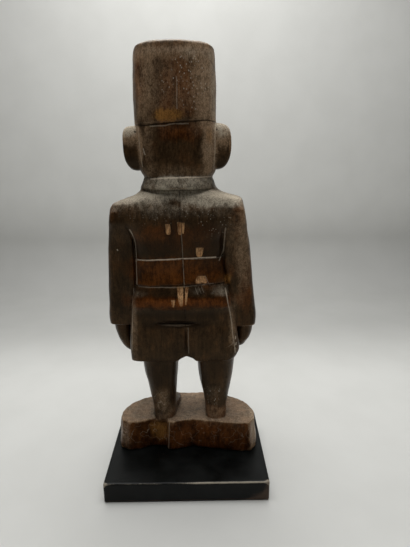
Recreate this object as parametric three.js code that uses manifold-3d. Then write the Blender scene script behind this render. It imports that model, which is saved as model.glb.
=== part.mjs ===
// A carved wooden statuette of a man in a belted coat and a tall round cap, on a painted board.
// Millimetres, +Z up. The man faces -Y. The origin is under the middle of the board.
import * as THREE from "three";
import { mergeVertices } from "three/addons/utils/BufferGeometryUtils.js";
import Module from "manifold-3d";

const wasm = await Module();
wasm.setup();

// The board
const BOARD = { width: 127.2, depth: 91.6, height: 17, eased: 0.8 };
const SEAT_GAP = 0.3;

// The rough block that the feet stand on: a straight back edge and a half-round front
const BLOCK = {
  bottom: BOARD.height + SEAT_GAP,
  top: 44.6,
  middle: { x: -0.5, y: -1 },
  bottomReach: { x: 58.8, y: 38.2 },
  topReach: { x: 56.7, y: 36.4 },
  squareness: 2.25,
  eased: 1.2,
  easedShare: 0.985,
  frontSides: 22,
};
// The block's back edge as x and y, from the man's left end to his right, with its notch
const BLOCK_BACK = [
  [56, 4.4],
  [49.5, 7.8],
  [43, 7.4],
  [28.6, 2.8],
  [18.4, 3.2],
  [16.6, 7.2],
  [12, 8.6],
  [4, 6.2],
  [-5, 4.6],
  [-20, 7.4],
  [-43, 11.6],
  [-53, 10.5],
  [-58, 4.6],
];

// Section rows: height, the man's right side, his left side, front, back, squareness (2 is an ellipse)
const COAT = [
  [97.2, -38.2, 44.8, -37.2, 3.6, 9],
  [98.4, -39.4, 45, -38.8, 5.2, 9],
  [102.5, -41.9, 45.2, -39.4, 5.8, 9],
  [107, -43.4, 45.4, -39.6, 6, 9],
  [118, -42, 45.2, -39.6, 5.6, 9],
  [131, -39.7, 43.9, -40, 4.6, 9],
  [138, -38.1, 42.9, -40.4, 4.7, 9],
  [142, -37.2, 42.3, -40.4, 5.6, 9],
  [145, -36.6, 41.8, -40.4, 6.9, 9],
  [150, -35.4, 41, -40.2, 6.8, 9],
  [157, -34, 39.6, -39.4, 4.9, 5.4],
  [164, -32.4, 38.4, -38.4, 3.1, 5],
  [173, -30.4, 38.2, -37.6, 2.4, 5],
  [183, -29.2, 38.2, -37.6, 3, 5],
  [195, -29.4, 39.4, -38.8, 4.6, 5],
  [204, -30.8, 42.6, -39.4, 6, 6],
  [212, -39, 52, -39.2, 6.6, 6],
  [218, -45.6, 55.6, -38, 6.4, 6.5],
  [222.4, -45, 53.8, -36.2, 5.2, 6],
  [226.4, -43.6, 43.6, -34.6, 3.8, 5],
  [229.2, -34, 36.4, -33.8, 2.8, 3.6],
  [232, -27, 33.4, -33.4, 2, 2.5],
  [236, -23.4, 31.8, -33.2, 1.8, 2.4],
];
// Flat facets along the coat's back corners: height, then how far each takes in from its side
const COAT_FACETS = [
  [96, 3.4, 4.6],
  [107, 3.8, 5],
  [118, 3.6, 4.8],
  [139, 3, 4.4],
  [150, 2.6, 3.6],
  [157, 1, 1],
];
const FACET = { turn: Math.PI / 4, along: 14, deep: 12 };
const BELT = { low: 161.8, high: 181.6, eased: 0.5, proud: 1.1, edgeProud: 0.4, slope: -0.03 };
const COLLAR = [
  [233.2, -24.6, 32.7, -38.4, 4.4, 2.5],
  [234, -24.4, 32.8, -39.2, 5.2, 2.5],
  [238, -23.4, 31.2, -38.8, 4.6, 2.6],
  [241.4, -21.9, 30, -38.4, 3.8, 2.6],
  [242.4, -21.3, 29.4, -37.6, 3.2, 2.6],
];
const HEAD = [
  [236, -21.4, 29.4, -36, 1.6, 2.6],
  [242, -22, 29.8, -38, 2.4, 3],
  [246, -24, 32, -38.6, 3, 3.2],
  [251, -24.9, 33.3, -39.2, 3.6, 3.4],
  [262, -25.3, 33.9, -39.8, 4.6, 3.4],
  [272, -25.2, 34.5, -39.8, 5.2, 3.2],
  [286, -24, 34.6, -39.6, 5.6, 2.8],
];
const CAP = [
  [280, -23.8, 34.9, -40.4, 7.1, 2.5],
  [281.2, -24.4, 35.4, -41.4, 7.7, 2.5],
  [298, -24.5, 35.7, -42, 8.2, 2.4],
  [307, -24.4, 35.3, -42, 8.2, 2.3],
  [317, -24.2, 34.9, -41.8, 8, 2.2],
  [325.4, -23.9, 34.4, -41.4, 7.6, 2.2],
  [329.4, -23.2, 33.2, -40.8, 6.8, 2.2],
  [331, -21.4, 30.6, -38.8, 4.8, 2.2],
];
// The cap's rim runs downhill to the man's left, while its top is nearly level
const CAP_SLOPE = { rim: -0.05, top: 0.015 };

// Arms and hands hang a little differently on the two sides
const ARMS = {
  left: [
    [126.2, 42.2, 61.2, -31.5, -3.5, 4],
    [127.2, 41.5, 62, -32.3, -2.7, 4],
    [134, 40.9, 62.5, -32.7, -2.3, 4],
    [143, 39.9, 61.9, -33.1, -1.9, 4],
    [160, 37.2, 61, -33.7, -1.3, 4],
    [177, 36.4, 60, -34.1, -0.9, 4],
    [193, 36.7, 58.7, -34.7, 0.6, 4],
    [204, 35.4, 57.6, -35.8, 3.8, 4],
    [211, 34.8, 56.8, -36, 6, 4.2],
    [217, 35.4, 55.8, -35.4, 6, 4],
    [222, 38, 51, -32.5, 2.8, 4.2],
  ],
  right: [
    [124.2, -56, -37, -31.5, -3.5, 4],
    [125.2, -57, -36.4, -32.3, -2.7, 4],
    [131, -57.4, -35.7, -32.7, -2.3, 4],
    [142, -56, -34, -33.1, -1.9, 4],
    [159, -53.9, -31.7, -33.7, -1.3, 4],
    [174, -52.6, -28.9, -34.3, -0.7, 4],
    [190, -51, -27.5, -34.9, -0.1, 4],
    [201, -48.9, -27, -36, 2.8, 4],
    [210, -47.5, -26.6, -36.2, 5.8, 4.2],
    [218, -46, -25.4, -36.4, 6, 4.4],
    [225, -43, -27.4, -33.5, 2.8, 4],
  ],
};
const HANDS = {
  left: [
    [99.6, 43.4, 48.4, -23.5, -13.5, 2.2],
    [102.4, 42, 51.6, -26.5, -10.5, 2.3],
    [107, 42.8, 54.8, -28.9, -8.1, 2.4],
    [114, 43.6, 57.4, -30.5, -6.5, 2.5],
    [121, 44.4, 59.2, -30.5, -6.5, 2.5],
    [128, 44.4, 59.8, -29.6, -6.4, 2.5],
  ],
  right: [
    [102.4, -45.2, -40.2, -23.5, -13.5, 2.2],
    [104.6, -48.8, -38.8, -26.5, -10.5, 2.3],
    [108, -50.6, -39, -28.9, -8.1, 2.4],
    [112, -53.2, -39.6, -30.5, -6.5, 2.5],
    [118, -55.1, -40.4, -30.5, -6.5, 2.5],
    [126, -55.8, -40.4, -29.6, -6.4, 2.5],
  ],
};
const THUMB = { forward: 8.6, inward: 2.5, radius: 3.6, length: 17, height: 115 };

// Legs and shoes
const LEGS = {
  left: [
    [42, 10, 28.2, -17.5, 4.4, 2.4],
    [46, 10.2, 28.2, -17.6, 4.6, 2.4],
    [55, 9.8, 29.2, -18.6, 3.8, 2.3],
    [65, 9.3, 31.3, -21, 3.8, 2.3],
    [75, 8.5, 33.2, -23.6, 4, 2.3],
    [84, 7.5, 35.6, -26.4, 4, 2.3],
    [104, 6.6, 37.4, -29.6, 3.6, 2.3],
  ],
  right: [
    [42, -33, -15.8, -17.2, 5.2, 2.4],
    [46, -32.8, -16, -17.4, 5.4, 2.4],
    [54, -33.6, -14.8, -18.4, 4, 2.3],
    [64, -35.2, -13.4, -21, 3.8, 2.3],
    [74, -37.3, -10.9, -23.6, 4, 2.3],
    [83, -39, -9.5, -26.4, 4, 2.3],
    [104, -40.6, -8, -29.6, 3.6, 2.3],
  ],
};
// Shoe rows run forward: reach along -Y, inner side, outer side, sole, top, squareness
const SHOE = [
  [-3, -7.2, 7.2, 43.5, 53.5, 2.2],
  [2, -8.6, 8.6, 42.6, 55.4, 2.3],
  [12, -8.8, 8.8, 42.4, 55.6, 2.3],
  [20, -8.8, 9.4, 42.2, 53.4, 2.3],
  [28, -8, 9.2, 42, 51.2, 2.3],
  [31.5, -6, 7.2, 42.4, 49.2, 2.2],
  [33, -3, 4.2, 43.4, 47.4, 2],
];
const SHOE_X = { left: 19, right: -24.2 };
const TOE_INWARD = { left: 0.16, right: 0 };

// Ears: thick discs that stand out from the sides of the head, squarer above than below,
// domed at the back and hollowed on the outside
const EAR = {
  left: { x: 33.4, y: -14.5, z: 265, reach: 10, above: 14.2, below: 19, squareAbove: 3.8 },
  right: { x: -24.5, y: -14.5, z: 265.5, reach: 10.6, above: 15.2, below: 18.8, squareAbove: 2.8 },
  squareBelow: 2.3,
  halfDepth: 12,
  sides: 24,
  // Rings from front to back as shares of the half depth, and how they close in at the ends
  steps: [-0.98, -0.88, -0.62, -0.3, 0.3, 0.62, 0.88, 0.98],
  flatness: 7,
  dome: 2.8,
  hollow: { depth: 3.2, halfDepth: 7.6, halfHeight: 9.6, up: 2 },
};

// The face: plain shapes on the front of the head, under the cap's rim
const FACE = { x: 4.8, noseTip: 259.6, setBack: 5 };
// The nose's rows: height, half width, how far it stands out
const NOSE = [
  [258, 3.6, 1],
  [259.6, 5.2, 4.2],
  [263.6, 3.1, 3.4],
  [270.2, 1.9, 1.2],
  [275.6, 2.6, 1],
];
// Eyes and brows, on both sides, then lips and chin: place across, height, how far in, half sizes
const FACE_PAIRS = [
  { across: 10.4, z: 270.2, inward: 0, halves: [5.2, 1.5, 2.7] },
  { across: 10.4, z: 275.6, inward: 0.6, halves: [7.4, 2.4, 1.7] },
];
const FACE_MIDDLES = [
  { z: 254.3, inward: 0.4, halves: [7.5, 2, 1.6] },
  { z: 251.7, inward: 0.6, halves: [6.5, 2.3, 1.7] },
  { z: 246, inward: 3, halves: [9, 4.4, 3] },
];

// Cuts and small raised work on the coat
const CUTTER = { behind: 20, ahead: -50, depth: 40 };
const SEAM = { x: 3, width: 1.2, depth: 0.9, low: 134, high: 232 };
const VENT = { x: 0, width: 1.8, depth: 2, low: 80, high: 129 };
const CREASE = { x: 5, y: 8, z: 131, halfWidth: 18, reach: 12, halfHeight: 1.5, depth: 1.8 };
const VENT_ARCH = { x: -1, y: 6, halfWidth: 8, reach: 8, low: 92, high: 101.6 };
const OPENING = { x: 2.4, width: 1.4, depth: 0.9, low: 92, high: 231 };
const BUTTONS = { aside: 4.6, radius: 2.6, proud: 1.2, heights: [113, 131, 149, 196, 212, 224] };
const BUCKLE = { width: 16, height: 15, proud: 1.4 };

const COAT_SIDES = 32;
const BELT_LEVELS = 5;
const TURN = 2 * Math.PI;

// Builds a closed surface from rings with the same number of points, each ring running
// anticlockwise about the direction in which the rings follow each other
function loft(rings) {
  const sides = rings[0].length;
  const points = rings.flat();
  const faces = [];
  for (let row = 0; row + 1 < rings.length; row += 1) {
    for (let k = 0; k < sides; k += 1) {
      const a = row * sides + k;
      const b = row * sides + ((k + 1) % sides);
      faces.push(a, b, b + sides, a, b + sides, a + sides);
    }
  }
  for (const [ring, start, outward] of [
    [rings[0], 0, false],
    [rings.at(-1), points.length - sides, true],
  ]) {
    const middle = points.length;
    points.push([0, 1, 2].map((i) => ring.reduce((sum, p) => sum + p[i], 0) / sides));
    for (let k = 0; k < sides; k += 1) {
      const a = start + k;
      const b = start + ((k + 1) % sides);
      faces.push(middle, outward ? a : b, outward ? b : a);
    }
  }
  const geometry = new THREE.BufferGeometry();
  geometry.setAttribute("position", new THREE.Float32BufferAttribute(points.flat(), 3));
  geometry.setIndex(faces);
  return geometry;
}

// A point on a rounded square of half size 1, at a turn round it
function onSquare(turn, squareness) {
  const power = 2 / squareness;
  const [c, s] = [Math.cos(turn), Math.sin(turn)];
  return [Math.sign(c) * Math.abs(c) ** power, Math.sign(s) * Math.abs(s) ** power];
}

// One ring from a section row, as points with the row's own height last
function ringOf([height, right, left, front, back, squareness], sides, slope = 0) {
  const ring = [];
  const x = (left + right) / 2;
  const y = (front + back) / 2;
  const halfWidth = (left - right) / 2;
  const halfDepth = (back - front) / 2;
  for (let k = 0; k < sides; k += 1) {
    const [across, along] = onSquare(((k + 0.5) / sides) * TURN, squareness);
    const dx = halfWidth * across;
    ring.push([x + dx, y + halfDepth * along, height + slope * dx]);
  }
  return ring;
}

// Turns a closed geometry into a solid that can be joined and cut
function solid(geometry) {
  const bare = geometry.clone();
  for (const name of Object.keys(bare.attributes)) {
    if (name !== "position") bare.deleteAttribute(name);
  }
  const merged = mergeVertices(bare, 1e-4);
  return new wasm.Manifold(
    new wasm.Mesh({
      numProp: 3,
      vertProperties: new Float32Array(merged.attributes.position.array),
      triVerts: new Uint32Array(merged.index.array),
    }),
  );
}

// A solid from a section table, whose sections may be out of level
function lofted(rows, sides, slope = 0, topSlope = slope) {
  const [low, high] = [rows[0][0], rows.at(-1)[0]];
  const slopeAt = (z) => slope + ((z - low) / (high - low)) * (topSlope - slope);
  return solid(loft(rows.map((row) => ringOf(row, sides, slopeAt(row[0])))));
}

function block(x, y, z, width, depth, height) {
  return solid(new THREE.BoxGeometry(width, depth, height).translate(x, y, z));
}

function egg(x, y, z, halfWidth, halfDepth, halfHeight, sides = 12) {
  const ball = new THREE.SphereGeometry(1, sides, sides / 2);
  return solid(ball.scale(halfWidth, halfDepth, halfHeight).translate(x, y, z));
}

function joined(solids) {
  return solids.reduce((all, next) => all.add(next));
}

// The section row of a table at any height, by straight interpolation
function rowAt(table, height) {
  const next = Math.max(1, table.findIndex((row) => row[0] >= height));
  const [below, above] = [table[next - 1], table[next]];
  const share = (height - below[0]) / (above[0] - below[0]);
  return below.map((value, i) => value + share * (above[i] - value));
}

// The same rows, made larger or smaller all round
function swollen(rows, by) {
  return rows.map(([z, right, left, front, back, n]) => [
    z,
    right - by,
    left + by,
    front - by,
    back + by,
    n,
  ]);
}

// Where a table's front surface lies at a place across and a height
function frontAt(table, x, z) {
  const [, right, left, front, back, n] = rowAt(table, z);
  const across = Math.abs((2 * x - left - right) / (left - right));
  return (front + back) / 2 - ((back - front) / 2) * (1 - across ** n) ** (1 / n);
}

function makeBlock() {
  const outline = (reach) => {
    const points = [];
    for (let k = 0; k <= BLOCK.frontSides; k += 1) {
      const [across, along] = onSquare(Math.PI * (1 + k / BLOCK.frontSides), BLOCK.squareness);
      points.push([BLOCK.middle.x + reach.x * across, BLOCK.middle.y + reach.y * along]);
    }
    const stretch = reach.x / BLOCK.bottomReach.x;
    const back = BLOCK_BACK.map(([x, y]) => [x * stretch, y]);
    return [...points, ...back];
  };
  const at = (reach, z, shrink = 1) => outline(reach).map(([x, y]) => [x * shrink, y * shrink, z]);
  return solid(
    loft([
      at(BLOCK.bottomReach, BLOCK.bottom),
      at(BLOCK.topReach, BLOCK.top - BLOCK.eased),
      at(BLOCK.topReach, BLOCK.top, BLOCK.easedShare),
    ]),
  );
}

// The belt is a band of the coat's own sections, a little proud and slightly out of level
function makeBelt() {
  const band = [rowAt(COAT, BELT.low)];
  for (let k = 0; k < BELT_LEVELS; k += 1) {
    const share = k / (BELT_LEVELS - 1);
    band.push(rowAt(COAT, BELT.low + BELT.eased + share * (BELT.high - BELT.low - 2 * BELT.eased)));
  }
  band.push(rowAt(COAT, BELT.high));
  const proudAt = (k) => (k === 0 || k === band.length - 1 ? BELT.edgeProud : BELT.proud);
  return lofted(band.map((row, k) => swollen([row], proudAt(k))[0]), COAT_SIDES, BELT.slope);
}

// The wedges that take a flat facet off each back corner of the coat
function makeFacetCutters() {
  const [c, s] = [Math.cos(FACET.turn), Math.sin(FACET.turn)];
  return [1, -1].map((side) => {
    const rings = COAT_FACETS.map(([z, leftTake, rightTake]) => {
      const [, right, left, , back] = rowAt(COAT, Math.max(z, COAT[0][0]));
      const x = side > 0 ? left - leftTake : right + rightTake;
      const start = [x - side * c * FACET.along, back + s * FACET.along];
      const end = [x + side * c * FACET.along, back - s * FACET.along];
      const outward = [side * s * FACET.deep, c * FACET.deep];
      const ring = [start, end, [end[0] + outward[0], end[1] + outward[1]]];
      ring.push([start[0] + outward[0], start[1] + outward[1]]);
      return ring.map(([px, py]) => [px, py, z]);
    });
    if (side < 0) rings.forEach((ring) => ring.reverse());
    return solid(loft(rings));
  });
}

// A cutter that only reaches a set depth under the coat's surface
function shallow(cutter, depth) {
  return cutter.subtract(lofted(swollen(COAT, -depth), COAT_SIDES));
}

function makeCoatCuts() {
  const upright = ({ x, width, low, high }, y) =>
    block(x, y, (low + high) / 2, width, CUTTER.depth, high - low);
  const { x, y, z, halfWidth, reach, halfHeight, depth } = CREASE;
  const arch = VENT_ARCH;
  return joined([
    ...makeFacetCutters(),
    shallow(upright(SEAM, CUTTER.behind), SEAM.depth),
    shallow(upright(VENT, CUTTER.behind), VENT.depth),
    shallow(egg(x, y, z, halfWidth, reach, halfHeight, 16), depth),
    shallow(upright(OPENING, CUTTER.ahead), OPENING.depth),
    egg(arch.x, arch.y, arch.low, arch.halfWidth, arch.reach, arch.high - arch.low, 12),
  ]);
}

function makeFrontWork() {
  const buttonX = OPENING.x + BUTTONS.aside;
  const pieces = BUTTONS.heights.map((z) => {
    const y = frontAt(COAT, buttonX, z);
    return egg(buttonX, y, z, BUTTONS.radius, BUTTONS.proud, BUTTONS.radius, 12);
  });
  const middle = (BELT.low + BELT.high) / 2;
  const beltFront = frontAt(COAT, FACE.x, middle) - BELT.proud;
  pieces.push(
    block(FACE.x, beltFront, middle, BUCKLE.width, 2 * BUCKLE.proud, BUCKLE.height),
  );
  return joined(pieces);
}

function makeEar(side) {
  const { x, y, z, reach, above, below, squareAbove } = EAR[side];
  const outward = side === "left" ? 1 : -1;
  const outline = [];
  for (let k = 0; k < EAR.sides; k += 1) {
    const turn = ((k + 0.5) / EAR.sides) * TURN;
    const upper = Math.sin(turn) > 0;
    const [across, up] = onSquare(turn, upper ? squareAbove : EAR.squareBelow);
    outline.push([outward * reach * across, (upper ? above : below) * up]);
  }
  const rings = EAR.steps.map((share) => {
    const wide = (1 - Math.abs(share) ** EAR.flatness) ** (1 / EAR.flatness);
    const tall = (1 - Math.abs(share) ** EAR.dome) ** (1 / EAR.dome);
    return outline.map(([dx, dz]) => [x + dx * wide, y + share * EAR.halfDepth, z + dz * tall]);
  });
  if (outward > 0) rings.reverse();
  const { depth, halfDepth, halfHeight, up } = EAR.hollow;
  const middle = z + (above - below) / 2 + up;
  return solid(loft(rings)).subtract(egg(x + outward * reach, y, middle, depth, halfDepth, halfHeight, 14));
}

// Nose, eyes, brows, lips and chin, each set a little into the front of the head
function makeFace() {
  const front = frontAt(HEAD, FACE.x, FACE.noseTip);
  const noseRows = NOSE.map(([z, half, out]) => [
    z,
    FACE.x - half,
    FACE.x + half,
    front - out,
    front + FACE.setBack,
    2,
  ]);
  const pieces = [lofted(noseRows, 12)];
  for (const { across, z, inward, halves } of FACE_PAIRS) {
    for (const x of [FACE.x - across, FACE.x + across]) {
      pieces.push(egg(x, frontAt(HEAD, x, z) + inward, z, ...halves));
    }
  }
  for (const { z, inward, halves } of FACE_MIDDLES) {
    pieces.push(egg(FACE.x, front + inward, z, ...halves));
  }
  return joined(pieces);
}

function makeShoe(side) {
  const x = SHOE_X[side];
  const outward = side === "left" ? 1 : -1;
  const rings = SHOE.map(([reach, inner, outer, sole, top, n]) =>
    ringOf([reach, inner, outer, sole, top, n], 14).map(([dx, height, forward]) => [
      x + outward * (dx - TOE_INWARD[side] * forward),
      -forward,
      height,
    ]),
  );
  if (outward < 0) rings.forEach((ring) => ring.reverse());
  return solid(loft(rings));
}

function makeThumb(side) {
  const outward = side === "left" ? 1 : -1;
  const [, right, left, front, back] = rowAt(HANDS[side], THUMB.height);
  const x = (right + left) / 2 - outward * THUMB.inward;
  const y = (front + back) / 2 - THUMB.forward;
  return egg(x, y, THUMB.height, THUMB.radius, THUMB.radius, THUMB.length / 2, 10);
}

function makeFigure() {
  const coat = joined([lofted(COAT, COAT_SIDES), makeBelt()]).subtract(makeCoatCuts());
  const pieces = [coat, makeFrontWork(), makeBlock()];
  pieces.push(lofted(COLLAR, 28), lofted(HEAD, 28), lofted(CAP, 30, CAP_SLOPE.rim, CAP_SLOPE.top));
  pieces.push(makeFace());
  for (const side of ["left", "right"]) {
    pieces.push(lofted(ARMS[side], 18), lofted(HANDS[side], 14), makeThumb(side));
    pieces.push(lofted(LEGS[side], 16), makeShoe(side));
    pieces.push(makeEar(side));
  }
  return joined(pieces);
}

function meshOf(name, made, colour, roughness) {
  const { vertProperties, triVerts, numProp } = made.getMesh();
  const geometry = new THREE.BufferGeometry();
  const position = [];
  for (let i = 0; i < vertProperties.length; i += numProp) {
    position.push(...vertProperties.subarray(i, i + 3));
  }
  geometry.setAttribute("position", new THREE.Float32BufferAttribute(position, 3));
  geometry.setIndex([...triVerts]);
  const material = new THREE.MeshStandardMaterial({ color: colour, roughness, metalness: 0 });
  const mesh = new THREE.Mesh(geometry, material);
  mesh.name = name;
  return mesh;
}

function makeBoard() {
  const { width, depth, height, eased } = BOARD;
  const rows = [
    [0, 1 - eased / width, 1 - eased / depth],
    [eased, 1, 1],
    [height - eased, 1, 1],
    [height, 1 - (2 * eased) / width, 1 - (2 * eased) / depth],
  ];
  const rings = rows.map(([z, across, along]) => {
    const x = (width / 2) * across;
    const y = (depth / 2) * along;
    return [
      [x, -y, z],
      [x, y, z],
      [-x, y, z],
      [-x, -y, z],
    ];
  });
  return solid(loft(rings));
}

const statuette = new THREE.Group();
statuette.add(meshOf("plinth", makeBoard(), 0x141614, 0.45));
statuette.add(meshOf("carved_figure", makeFigure(), 0x3a2718, 0.55));

export default statuette;
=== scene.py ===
# A carved wooden statuette of a man in a belted coat and a tall round cap, on a painted board.
# The carving is worked as a block of distances, cut and joined as clay would be, then skinned.
# Sizes in the carving are millimetres in the frame's own axes; meshes are made in metres.
import math
from collections import namedtuple

import bpy
import numpy as np
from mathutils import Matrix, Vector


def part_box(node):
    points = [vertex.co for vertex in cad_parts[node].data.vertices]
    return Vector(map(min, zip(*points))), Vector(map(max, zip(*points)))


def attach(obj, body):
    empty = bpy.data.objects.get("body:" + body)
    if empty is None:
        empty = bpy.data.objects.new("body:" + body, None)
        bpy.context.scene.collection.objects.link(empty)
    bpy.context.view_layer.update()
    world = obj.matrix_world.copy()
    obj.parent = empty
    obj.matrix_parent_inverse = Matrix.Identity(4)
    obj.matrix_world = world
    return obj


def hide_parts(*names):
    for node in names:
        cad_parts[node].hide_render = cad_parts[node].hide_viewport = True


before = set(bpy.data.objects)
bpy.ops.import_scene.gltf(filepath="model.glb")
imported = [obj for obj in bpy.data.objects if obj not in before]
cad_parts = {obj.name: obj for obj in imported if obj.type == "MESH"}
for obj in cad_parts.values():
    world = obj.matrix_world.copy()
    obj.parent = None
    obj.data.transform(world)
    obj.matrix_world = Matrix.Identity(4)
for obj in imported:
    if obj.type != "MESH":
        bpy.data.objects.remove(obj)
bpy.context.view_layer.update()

import openvdb
from mathutils import Matrix, Vector

MM = 0.001
BACKGROUND = (0.65, 0.65, 0.62)

# The photograph's viewpoint, solved from the edges of the board
CAMERA_PLACE = (-0.0110, 0.3062, 0.2524)
CAMERA_PITCH, CAMERA_YAW, CAMERA_ROLL = 15.12, 0.85, -0.30
CAMERA_LENS = 27.05

# The block of space that the carving is worked in
STEP, ROW_GAP = 0.5, 0.25
SPACE_LOW, SPACE_HIGH = (-62.0, -47.0, 15.5), (65.5, 15.0, 334.0)
FAR = 4.0
FIGURE_TRIANGLES = 192000

# Relief on the carved surface: the size of each kind of mark, and its depth
SCOOP_SIZE, SCOOP_DEPTH = (9, 9, 24), 0.16
WAVE_SIZE, WAVE_DEPTH = (16, 16, 30), 0.22
GRAIN_SIZE, GRAIN_DEPTH = (2.5, 2.5, 7), 0.07
HACKED_SIZE, HACKED_DEPTH = (4, 4, 12), 0.5

# Section rows: height, the man's right side, his left side, front, back, squareness (2 is an ellipse)
COAT = [
    (97.2, -38.2, 44.8, -37.2, 3.6, 9), (98.4, -39.4, 45, -38.8, 5.2, 9),
    (102.5, -41.9, 45.2, -39.4, 5.8, 9), (107, -43.4, 45.4, -39.6, 6, 9),
    (118, -42, 45.2, -39.6, 5.6, 9), (131, -39.7, 43.9, -40, 4.6, 9),
    (138, -38.1, 42.9, -40.4, 4.7, 9), (142, -37.2, 42.3, -40.4, 5.6, 9),
    (145, -36.6, 41.8, -40.4, 6.9, 9), (150, -35.4, 41, -40.2, 6.8, 9),
    (157, -34, 39.6, -39.4, 4.9, 5.4), (164, -32.4, 38.4, -38.4, 3.1, 5),
    (173, -30.4, 38.2, -37.6, 2.4, 5), (183, -29.2, 38.2, -37.6, 3, 5),
    (195, -29.4, 39.4, -38.8, 4.6, 5), (204, -30.8, 42.6, -39.4, 6, 6),
    (212, -39, 52, -39.2, 6.6, 6), (218, -45.6, 55.6, -38, 6.4, 6.5),
    (222.4, -45, 53.8, -36.2, 5.2, 6), (226.4, -43.6, 43.6, -34.6, 3.8, 5),
    (229.2, -34, 36.4, -33.8, 2.8, 3.6), (232, -27, 33.4, -33.4, 2, 2.5),
    (236, -23.4, 31.8, -33.2, 1.8, 2.4),
]
# Flat facets along the coat's back corners: height, then how far each takes in from its side
COAT_FACETS = [
    (96, 3.4, 4.6), (107, 3.8, 5), (118, 3.6, 4.8), (139, 3, 4.4), (150, 2.6, 3.6), (157, 1, 1), (160, 0, 0),
]
FACET_TURN = 45
BELT_LOW, BELT_HIGH, BELT_PROUD, BELT_SLOPE = 161.8, 181.6, 0.9, -0.03
COLLAR = [
    (233.2, -24.6, 32.7, -38.4, 4.4, 2.5), (234, -24.4, 32.8, -39.2, 5.2, 2.5),
    (238, -23.4, 31.2, -38.8, 4.6, 2.6), (241.4, -21.9, 30, -38.4, 3.8, 2.6),
    (242.4, -21.3, 29.4, -37.6, 3.2, 2.6),
]
HEAD = [
    (236, -21.4, 29.4, -36, 1.6, 2.6), (242, -22, 29.8, -38, 2.4, 3), (246, -24, 32, -38.6, 3, 3.2),
    (251, -24.9, 33.3, -39.2, 3.6, 3.4), (262, -25.3, 33.9, -39.8, 4.6, 3.4),
    (272, -25.2, 34.5, -39.8, 5.2, 3.2), (286, -24, 34.6, -39.6, 5.6, 2.8),
]
CAP = [
    (280, -23.8, 34.9, -40.4, 7.1, 2.5), (281.2, -24.4, 35.4, -41.4, 7.7, 2.5),
    (298, -24.5, 35.7, -42, 8.2, 2.4), (307, -24.4, 35.3, -42, 8.2, 2.3),
    (317, -24.2, 34.9, -41.8, 8, 2.2), (325.4, -23.9, 34.4, -41.4, 7.6, 2.2),
    (329.4, -23.2, 33.2, -40.8, 6.8, 2.2), (331, -21.4, 30.6, -38.8, 4.8, 2.2),
]
# The cap's rim runs downhill to the man's left, while its top is nearly level
CAP_SLOPES = (-0.05, 0.015)
ARMS = {
    "left": [
        (126.2, 42.2, 61.2, -31.5, -3.5, 4), (127.2, 41.5, 62, -32.3, -2.7, 4),
        (134, 40.9, 62.5, -32.7, -2.3, 4), (143, 39.9, 61.9, -33.1, -1.9, 4),
        (160, 37.2, 61, -33.7, -1.3, 4), (177, 36.4, 60, -34.1, -0.9, 4),
        (193, 36.7, 58.7, -34.7, 0.6, 4), (204, 35.4, 57.6, -35.8, 3.8, 4),
        (211, 34.8, 56.8, -36, 6, 4.2), (217, 35.4, 55.8, -35.4, 6, 4),
        (222, 38, 51, -32.5, 2.8, 4.2),
    ],
    "right": [
        (124.2, -56, -37, -31.5, -3.5, 4), (125.2, -57, -36.4, -32.3, -2.7, 4),
        (131, -57.4, -35.7, -32.7, -2.3, 4), (142, -56, -34, -33.1, -1.9, 4),
        (159, -53.9, -31.7, -33.7, -1.3, 4), (174, -52.6, -28.9, -34.3, -0.7, 4),
        (190, -51, -27.5, -34.9, -0.1, 4), (201, -48.9, -27, -36, 2.8, 4),
        (210, -47.5, -26.6, -36.2, 5.8, 4.2), (218, -46, -25.4, -36.4, 6, 4.4),
        (225, -43, -27.4, -33.5, 2.8, 4),
    ],
}
HANDS = {
    "left": [
        (99.6, 43.4, 48.4, -23.5, -13.5, 2.2), (102.4, 42, 51.6, -26.5, -10.5, 2.3),
        (107, 42.8, 54.8, -28.9, -8.1, 2.4), (114, 43.6, 57.4, -30.5, -6.5, 2.5),
        (121, 44.4, 59.2, -30.5, -6.5, 2.5), (128, 44.4, 59.8, -29.6, -6.4, 2.5),
    ],
    "right": [
        (102.4, -45.2, -40.2, -23.5, -13.5, 2.2), (104.6, -48.8, -38.8, -26.5, -10.5, 2.3),
        (108, -50.6, -39, -28.9, -8.1, 2.4), (112, -53.2, -39.6, -30.5, -6.5, 2.5),
        (118, -55.1, -40.4, -30.5, -6.5, 2.5), (126, -55.8, -40.4, -29.6, -6.4, 2.5),
    ],
}
LEGS = {
    "left": [
        (42, 10, 28.2, -17.5, 4.4, 2.4), (46, 10.2, 28.2, -17.6, 4.6, 2.4),
        (55, 9.8, 29.2, -18.6, 3.8, 2.3), (65, 9.3, 31.3, -21, 3.8, 2.3),
        (75, 8.5, 33.2, -23.6, 4, 2.3), (84, 7.5, 35.6, -26.4, 4, 2.3),
        (104, 6.6, 37.4, -29.6, 3.6, 2.3),
    ],
    "right": [
        (42, -33, -15.8, -17.2, 5.2, 2.4), (46, -32.8, -16, -17.4, 5.4, 2.4),
        (54, -33.6, -14.8, -18.4, 4, 2.3), (64, -35.2, -13.4, -21, 3.8, 2.3),
        (74, -37.3, -10.9, -23.6, 4, 2.3), (83, -39, -9.5, -26.4, 4, 2.3),
        (104, -40.6, -8, -29.6, 3.6, 2.3),
    ],
}
# Shoe rows run forward: reach along -Y, inner side, outer side, sole, top, squareness
SHOE = [
    (-3, -7.2, 7.2, 43.5, 53.5, 2.2), (2, -8.6, 8.6, 42.6, 55.4, 2.3),
    (12, -8.8, 8.8, 42.4, 55.6, 2.3), (20, -8.8, 9.4, 42.2, 53.4, 2.3),
    (28, -8, 9.2, 42, 51.2, 2.3), (31.5, -6, 7.2, 42.4, 49.2, 2.2), (33, -3, 4.2, 43.4, 47.4, 2),
]
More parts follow.
